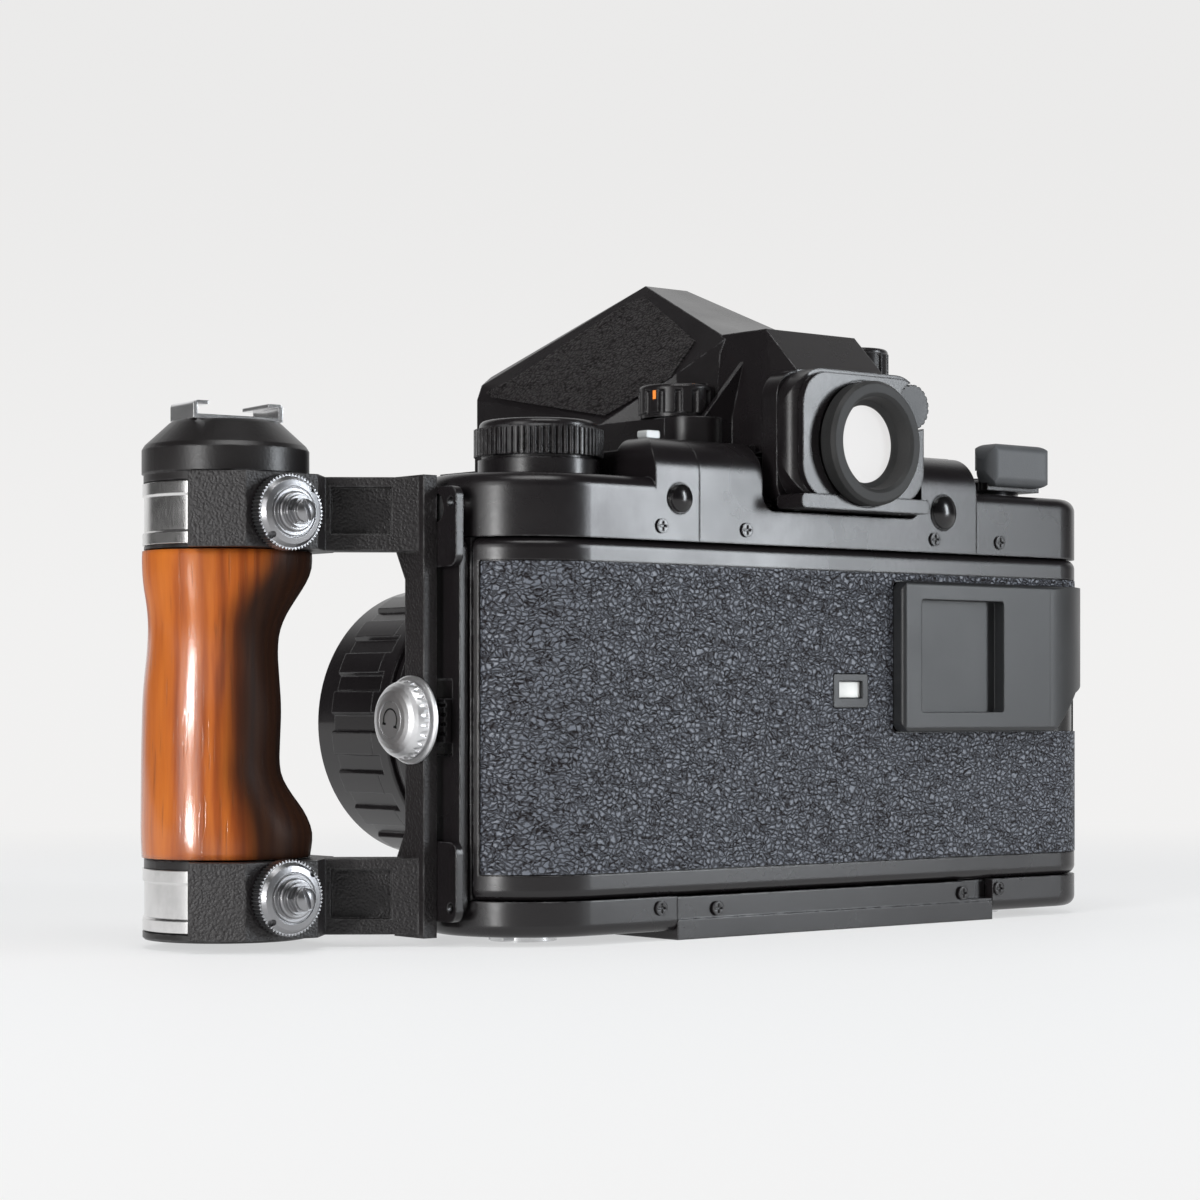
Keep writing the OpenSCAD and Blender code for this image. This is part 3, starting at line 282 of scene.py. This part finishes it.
def timber(name):
    """Oiled hardwood: growth rings cut along the handle, fibres, pores, and the finger side darkened, mostly
    painted shade from the body and partly handling.

    Specular level and coat weight follow the palm mask, and the coat also a polish band low on the handle.
    """
    m, t, s = finish(name, Coat_Weight=0.55, Coat_Roughness=0.1, Specular_IOR_Level=0.2)
    w = place(t, (1, 1, 0.11), (0.06, 0.03, 0))
    rings = add(
        t, "TexWave",
        {
            "Vector": w, "Scale": 95.0, "Distortion": 5.5,
            "Detail": 3.0, "Detail Scale": 1.6, "Detail Roughness": 0.6,
        },
        wave_type="BANDS", bands_direction="X",
    ).outputs["Fac"]
    streak = noise(t, place(t, (1, 1, 0.06)), 230, 6, 0.62, 0.4)
    fibre = noise(t, place(t, (1, 1, 0.035)), 2100, 3, 0.6)
    pores = span(t, noise(t, place(t, (1, 1, 0.05)), 1300, 2, 0.5), 0.62, 0.7, 0.0, 1.0)
    broad = noise(t, place(t), 22, 3)
    mixed = maths(t, "ADD", maths(t, "MULTIPLY", rings, 0.3), maths(t, "MULTIPLY", streak, 0.7))
    mixed = maths(t, "ADD", mixed, span(t, broad, 0.2, 0.8, -0.12, 0.12))
    tone = ramp(t, mixed, WOOD_TONES)
    tone = blend(t, maths(t, "MULTIPLY", pores, 0.55), tone, (0.2, 0.055, 0.01))
    tone = blend(t, span(t, fibre, 0.35, 0.75, 0.0, 0.22), tone, (0.26, 0.07, 0.012))
    soft = add(t, "Bevel", {"Radius": 0.0022}, samples=6).outputs[0]
    across = dot(t, place(t), ACROSS)
    level = dot(t, place(t), (0.0, 0.0, 1.0))
    # palm grows from the palm's side to the fingers', and its zero steps back at both ends of the hollow
    palm = maths(t, "ADD", maths(t, "ADD", across, AXIS_ACROSS), span(t, broad, 0.2, 0.8, -0.002, 0.002))
    palm = maths(t, "SUBTRACT", palm, span(t, level, 0.066, 0.084, 0.0, 0.008, "SMOOTHSTEP"))
    palm = maths(t, "SUBTRACT", palm, span(t, level, 0.038, 0.02, 0.0, 0.004, "SMOOTHSTEP"))
    # Painted shade: the finger side's colour darkens where the body shades the handle, with a little handling
    # darkening; its edges follow that shadow.
    tone = blend(t, span(t, palm, -0.0012, 0.0065, 0.0, 0.95, "SMOOTHSTEP"), tone, FINGER_SHADE_AND_STAIN)
    polish = span(t, level, 0.061, 0.069, 1.0, 0.12, "SMOOTHSTEP")
    gloss = maths(t, "MULTIPLY", span(t, palm, -0.003, 0.004, 0.95, 0.0), polish)
    height = maths(t, "SUBTRACT", maths(t, "MULTIPLY", fibre, 0.5), maths(t, "MULTIPLY", pores, 0.6))
    wire(
        t, s,
        Base_Color=tone,
        Coat_Weight=gloss,
        Specular_IOR_Level=span(t, palm, -0.003, 0.006, 0.18, 0.08),
        Roughness=span(t, streak, 0.3, 0.7, 0.5, 0.38),
        Normal=bump(t, height, 0.00005, 1.0, soft),
        Coat_Normal=bump(t, height, 0.00003, 1.0, soft),
    )
    return m


def soft_black(name, colour, rough, grain, depth):
    """Rubber or grained plastic."""
    m, t, s = finish(name, Specular_IOR_Level=0.45)
    w = place(t)
    tooth = noise(t, w, grain, 3, 0.6)
    dust = noise(t, w, 60, 4, 0.6)
    soft = add(t, "Bevel", {"Radius": 0.0004}, samples=4).outputs[0]
    wire(
        t, s,
        Base_Color=blend(t, span(t, dust, 0.35, 0.75, 0.0, 1.0), colour, tuple(c * 1.5 for c in colour)),
        Roughness=span(t, dust, 0.2, 0.8, rough - 0.06, rough + 0.06),
        Normal=bump(t, tooth, depth, 1.0, soft),
    )
    return m


def clear(name, colour, rough=0.02, through=1.0, ior=1.52):
    """Polished glass with a thin uneven coating."""
    m, t, s = finish(name, IOR=ior, Transmission_Weight=through)
    film = noise(t, place(t), 35, 2)
    wire(
        t, s,
        Base_Color=blend(t, film, colour, tuple(c * 0.94 for c in colour)),
        Roughness=span(t, film, 0.3, 0.7, rough, rough + 0.02),
    )
    return m


MATS = {
    "black_paint": paint("satin_black", (0.0062, 0.0052, 0.0057), 0.25),
    "black_leather": leather(
        "pebbled_leather", (0.110, 0.121, 0.145), (0.008, 0.0062, 0.0068), unrolled, 1150.0, 0.00040,
    ),
    "crackle_paint": crackle("wrinkle_black", (0.0062, 0.0052, 0.0055)),
    "chrome": metal("polished_chrome", (0.86, 0.86, 0.87), 0.2),
    "steel": metal("brushed_steel", (0.62, 0.62, 0.63), 0.32, (1, 1, 0.2), 0.00001),
    "wood": timber("oiled_wood"),
    "rubber": soft_black("black_rubber", (0.012, 0.012, 0.012), 0.55, 2200, 0.00004),
    "grey_rubber": soft_black("grey_pad", (0.055, 0.058, 0.062), 0.5, 2600, 0.00005),
    "plastic": soft_black("grained_black", (0.012, 0.0125, 0.0135), 0.38, 3200, 0.00002),
    "glass": clear("coated_glass", (0.86, 0.92, 0.95)),
    "mirror": metal("silvered_mirror", (0.93, 0.93, 0.94), 0.08),
    "cloth": soft_black("shutter_cloth", (0.01, 0.01, 0.01), 0.7, 1800, 0.00005),
}
prism_skin = leather(
    "prism_leather", (0.0105, 0.0082, 0.0088), (0.0035, 0.0028, 0.003), sideways, 1500.0, 0.00016,
)
# Painted glow: the eyepiece glass gives off light itself, standing in for the pale backdrop seen through the
# finder; it is no lamp.
eyepiece_glow = clear("painted_finder_glow", (0.12, 0.12, 0.12), 0.12, 0.0, 1.12)
eyepiece_glow_shader = eyepiece_glow.node_tree.nodes["Principled BSDF"]
eyepiece_glow_shader.inputs["Emission Color"].default_value = (0.80, 0.79, 0.785, 1.0)
eyepiece_glow_shader.inputs["Emission Strength"].default_value = 0.86
button_black = paint("polished_black", (0.004, 0.0035, 0.0038), 0.2, 0.2, 1600, 0.000004)
lens_glass = clear("tinted_glass", (0.34, 0.38, 0.46), 0.01)
lens_black = paint("anodised_black", (0.0055, 0.0045, 0.005), 0.2, 0.25, 1600, 0.000004)
inner_black = soft_black("flocked_black", (0.004, 0.004, 0.004), 0.75, 1500, 0.00004)
window_white = soft_black("window_white", (0.62, 0.62, 0.60), 0.35, 1500, 0.00001)
ink_white = soft_black("filled_white", (0.72, 0.72, 0.70), 0.5, 2500, 0.000005)
ink_orange = soft_black("filled_orange", (0.78, 0.22, 0.03), 0.45, 2500, 0.000005)
cap_black = paint("speckled_black", (0.0068, 0.0058, 0.006), 0.34, 0.5, 1500, 0.00003)
turned = metal("turned_steel", (0.34, 0.34, 0.35), 0.3, (1, 0.15, 1), 0.00002)
satin_metal = metal("satin_aluminium", (0.80, 0.80, 0.81), 0.42, (0.2, 1, 1), 0.00002)
band_metal = metal("band_chrome", (0.80, 0.79, 0.785), 0.2, (1, 1, 0.2), 0.0000006)


def dress(name, material):
    """Gives a CAD node its material."""
    o = nodes[name]
    o.data.materials.clear()
    o.data.materials.append(material)


for row in frame["record"]["subparts"]:
    dress(row["node"], MATS[row["material_slot"]])
dress("eyepiece_lens", eyepiece_glow)
dress("finder_leather", prism_skin)
dress("handle_core", cap_black)
dress("clamp_knob_upper", turned)
dress("clamp_knob_lower", turned)
dress("mount_knob", satin_metal)
dress("clamp_bands", band_metal)
dress("film_window", MATS["plastic"])
dress("display_windows", soft_black("counter_window", (0.28, 0.29, 0.29), 0.2, 1500, 0.00001))
for part in ("speed_button", "memory_button"):
    dress(part, button_black)
dress("screws", lens_black)
for part in ("front_glass", "rear_glass"):
    dress(part, lens_glass)
for part in ("lens_barrel", "focus_ring", "aperture_ring", "front_barrel"):
    dress(part, lens_black)

# ---- details ----


def piece(name, bm, material, body):
    """A new piece from bm that rides on that body."""
    mesh = bpy.data.meshes.new(name)
    bm.to_mesh(mesh)
    bm.free()
    mesh.materials.append(material)
    o = bpy.data.objects.new(name, mesh)
    bpy.context.scene.collection.objects.link(o)
    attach(o, body)
    return o


def put(bm, size, where):
    """Adds a small block of that size in millimetres, carried by the matrix where."""
    made = bmesh.ops.create_cube(bm, size=MM)
    shape = where @ Matrix.Diagonal((*size, 1.0))
    bmesh.ops.transform(bm, matrix=shape, verts=made["verts"])


def write(bm, words, tall, where):
    """Adds plain figures of that height in millimetres, facing the third axis of where."""
    curve = bpy.data.curves.new("figure", "FONT")
    curve.body = words
    curve.size = tall * MM * 1.4
    curve.extrude = 0.05 * MM
    curve.align_x = "CENTER"
    curve.align_y = "CENTER"
    made = bpy.data.objects.new("figure", curve)
    mesh = bpy.data.meshes.new_from_object(made)
    mesh.transform(where)
    bm.from_mesh(mesh)
    bpy.data.objects.remove(made)
    bpy.data.curves.remove(curve)
    bpy.data.meshes.remove(mesh)


def frame_at(x_axis, y_axis, z_axis, at):
    """Matrix with those axes at a place in millimetres."""
    m = Matrix((x_axis, y_axis, z_axis)).transposed().to_4x4()
    m.translation = Vector(at) * MM
    return m


def on_top(cx, cy, r, z, degrees):
    """Lying on a flat dial at that angle, with its top outwards."""
    a = math.radians(degrees)
    c, s = math.cos(a), math.sin(a)
    return frame_at((s, -c, 0), (c, s, 0), (0, 0, 1), (cx + r * c, cy + r * s, z))


def on_lens(r, y, degrees):
    """Lying on a ring of the lens, that many degrees from the top, with its top towards the front."""
    a = math.radians(degrees)
    c, s = math.cos(a), math.sin(a)
    return frame_at((-c, 0, s), (0, -1, 0), (s, 0, c), (r * s, y, 46 + r * c))


def make_marks():
    """Plain figures and index marks of the dials and rings, filled with paint."""
    bm = bmesh.new()
    speeds = ("1000", "500", "250", "125", "60", "30", "15", "8", "4", "2", "1")
    for i, words in enumerate(speeds):
        write(bm, words, 1.7, on_top(69.5, 22.4, 9.6, 111.92, 90 - i * 30))
    piece("speed_figures", bm, ink_white, "dial")
    bm = bmesh.new()
    for i in range(7):
        put(bm, (0.25, 1.6, 0.12), on_top(26.7, 18.9, 6.0, 122.7, 20 + i * 20))
    piece("comp_ticks", bm, ink_white, "comp")
    bm = bmesh.new()
    put(bm, (0.7, 1.9, 0.14), on_top(26.7, 18.9, 6.4, 122.72, 80))
    a = math.radians(14)
    side = frame_at((-math.sin(a), math.cos(a), 0), (0, 0, 1), (math.cos(a), math.sin(a), 0),
                    (26.7 + 8.8 * math.cos(a), 18.9 + 8.8 * math.sin(a), 120.2))
    put(bm, (0.9, 2.0, 0.14), side)
    piece("comp_mark", bm, ink_orange, "comp")
    bm = bmesh.new()
    put(bm, (0.4, 1.6, 0.12), on_top(-24.7, 24.5, 5.2, 134.32, 100))
    piece("meter_mark", bm, ink_white, "meter")
    bm = bmesh.new()
    for i, words in enumerate(("22", "16", "11", "8", "5.6", "4", "2.8")):
        write(bm, words, 1.9, on_lens(39.2, -63.2, -36 + i * 12))
    piece("aperture_figures", bm, ink_white, "aperture")
    bm = bmesh.new()
    for i, words in enumerate(("1", "1.2", "1.5", "2", "3", "5", "10")):
        write(bm, words, 1.9, on_lens(37.2, -82.4, -54 + i * 16))
        put(bm, (0.25, 1.0, 0.1), on_lens(37.2, -84.6, -54 + i * 16))
    piece("distance_figures", bm, ink_white, "focus")
    bm = bmesh.new()
    for i, words in ((-3, "16"), (-2, "8"), (2, "8"), (3, "16")):
        write(bm, words, 1.5, on_lens(41.5, -55.6, i * 7))
        put(bm, (0.25, 1.2, 0.1), on_lens(41.5, -57.8, i * 7))
    piece("depth_figures", bm, ink_white, "camera")
    bm = bmesh.new()
    put(bm, (0.7, 2.6, 0.12), on_lens(41.5, -56.8, 0))
    piece("lens_index", bm, ink_orange, "camera")


def make_window_pane():
    """Bright card behind the film window."""
    bm = bmesh.new()
    put(bm, (7.1, 0.1, 3.6), Matrix.Translation(Vector((-2.6, 44.28, 54.05)) * MM))
    pane = piece("window_card", bm, window_white, "door")
    edge = pane.modifiers.new("edge", "BEVEL")
    edge.width = 0.04 * MM


def make_turn_mark():
    """A curved arrow cut into the face of the mount knob."""
    bm = bmesh.new()
    for i in range(26):
        a = math.radians(-40 + i * 9.6)
        c, s = math.cos(a), math.sin(a)
        at = frame_at((0, -s, c), (0, c, s), (-1, 0, 0), (108.78, 22 + 2.3 * c, 47.5 + 2.3 * s))
        put(bm, (0.42, 0.34, 0.05), at)
    for a0, way in ((-40, -1), (200, 1)):
        a = math.radians(a0)
        c, s = math.cos(a), math.sin(a)
        at = frame_at((0, -s, c), (0, c, s), (-1, 0, 0), (108.78, 22 + 2.3 * c, 47.5 + 2.3 * s))
        put(bm, (0.5, 1.1, 0.05), at @ Matrix.Rotation(way * 0.5, 4, "Z"))
    piece("turn_mark", bm, inner_black, "mount_screw")


make_marks()
make_window_pane()
make_turn_mark()

# ---- floor, world and lamps ----

BACK = (0.885, 0.88, 0.875)
FLOOR = (0.915, 0.92, 0.925)


def make_floor():
    """A wide pale floor that fades into the backdrop's colour."""
    bm = bmesh.new()
    bmesh.ops.create_grid(bm, x_segments=2, y_segments=2, size=6.0)
    mesh = bpy.data.meshes.new("floor")
    bm.to_mesh(mesh)
    bm.free()
    o = bpy.data.objects.new("floor", mesh)
    bpy.context.scene.collection.objects.link(o)
    m = bpy.data.materials.new("floor_paper")
    m.use_nodes = True
    t = m.node_tree
    s = t.nodes["Principled BSDF"]
    s.inputs["Base Color"].default_value = (0.80, 0.805, 0.81, 1)
    s.inputs["Roughness"].default_value = 0.6
    s.inputs["Specular IOR Level"].default_value = 0.2
    glow = add(t, "Emission", {"Color": (*FLOOR, 1), "Strength": 1.0}).outputs[0]
    near = add(t, "MixShader", {"Fac": 0.62, 1: s.outputs[0], 2: glow}).outputs[0]
    far = add(t, "VectorMath", {0: place(t)}, operation="LENGTH").outputs["Value"]
    air = add(t, "Emission", {"Color": (*BACK, 1), "Strength": 1.0}).outputs[0]
    mix = add(t, "MixShader", {"Fac": span(t, far, 0.2, 0.6, 0.0, 1.0, "SMOOTHSTEP"), 1: near, 2: air})
    t.links.new(mix.outputs[0], t.nodes["Material Output"].inputs[0])
    mesh.materials.append(m)


def make_world():
    """The backdrop's colour for the camera and through glass, and a low even light.

    Reflections see a room that is bright only on the far side from the photo's view.
    """
    world = bpy.data.worlds.new("studio")
    bpy.context.scene.world = world
    world.use_nodes = True
    t = world.node_tree
    base = t.nodes["Background"]
    base.inputs[0].default_value = (1, 1, 1, 1)
    base.inputs[1].default_value = 0.10
    path = add(t, "LightPath")
    ray = add(t, "TexCoord").outputs["Generated"]
    up = add(t, "SeparateXYZ", {0: ray}).outputs[2]
    shaded = span(t, up, 0.0, 0.2, 1.0, 0.94, "SMOOTHSTEP")
    back = add(t, "Background", {"Color": (*BACK, 1), "Strength": shaded})
    away = dot(t, ray, (-0.6388, -0.7694, 0.1))
    room = span(t, away, 0.5, 0.8, 0.05, 0.86, "SMOOTHSTEP")
    mirrored = add(t, "Background", {"Color": (1, 1, 1, 1), "Strength": room})
    seen = maths(t, "MAXIMUM", path.outputs["Is Camera Ray"], path.outputs["Is Transmission Ray"])
    soft = add(t, "MixShader", {0: path.outputs["Is Glossy Ray"], 1: base.outputs[0], 2: mirrored.outputs[0]})
    mix = add(t, "MixShader", {0: seen, 1: soft.outputs[0], 2: back.outputs[0]})
    t.links.new(mix.outputs[0], t.nodes["World Output"].inputs[0])


def lamp(name, place_at, look_at, size, power, tall=None, mirrored=True, tint=(1, 1, 1)):
    """A soft rectangular lamp, seen in reflections or not."""
    data = bpy.data.lights.new(name, "AREA")
    data.color = tint
    data.shape = "RECTANGLE"
    data.size = size
    data.size_y = tall or size
    data.energy = power
    o = bpy.data.objects.new(name, data)
    bpy.context.scene.collection.objects.link(o)
    o.location = place_at
    o.visible_camera = False
    o.visible_glossy = mirrored
    o.rotation_euler = (Vector(look_at) - Vector(place_at)).to_track_quat("-Z", "Y").to_euler()


make_floor()
make_world()
CENTRE = (0.03, 0.0, 0.07)
# Towards the camera is (0.64, 0.77) and the image's right is (-0.77, 0.64).
lamp("top_box", (0.22, 0.42, 1.1), CENTRE, 0.7, 5.0, 0.5)
lamp("top_fill", (0.0, -0.3, 1.4), CENTRE, 1.2, 7.0, None, False)
lamp("rear_box", (-1.06, 1.31, 0.36), (0.0, 0.04, 0.07), 0.28, 16.5, 0.95, True, (0.9, 0.95, 1.0))
lamp("rear_fill", (-1.5, 0.85, 0.3), CENTRE, 0.5, 11.0, None, False)
lamp("left_box", (1.24, 0.30, 0.3), (0.13, 0.0, 0.06), 0.58, 4.4, 0.95)
lamp("left_strip", (1.17, 0.36, 0.045), (0.13, 0.0, 0.05), 0.09, 3.0, 0.085)
lamp("left_fill", (1.24, 0.33, 0.35), (0.13, 0.0, 0.06), 0.5, 8.5, None, False)

# ---- camera ----

cam_data = bpy.data.cameras.new("camera")
cam_data.sensor_width = 36.0
cam_data.lens = 90.0
cam_data.shift_y = 0.086
cam = bpy.data.objects.new("camera", cam_data)
bpy.context.scene.collection.objects.link(cam)
cam.location = (0.4745, 0.531, 0.051)
cam.rotation_euler = (math.radians(90), 0, math.radians(140.3))
bpy.context.scene.camera = cam
bpy.context.scene.view_settings.view_transform = "Standard"

bpy.context.view_layer.update()
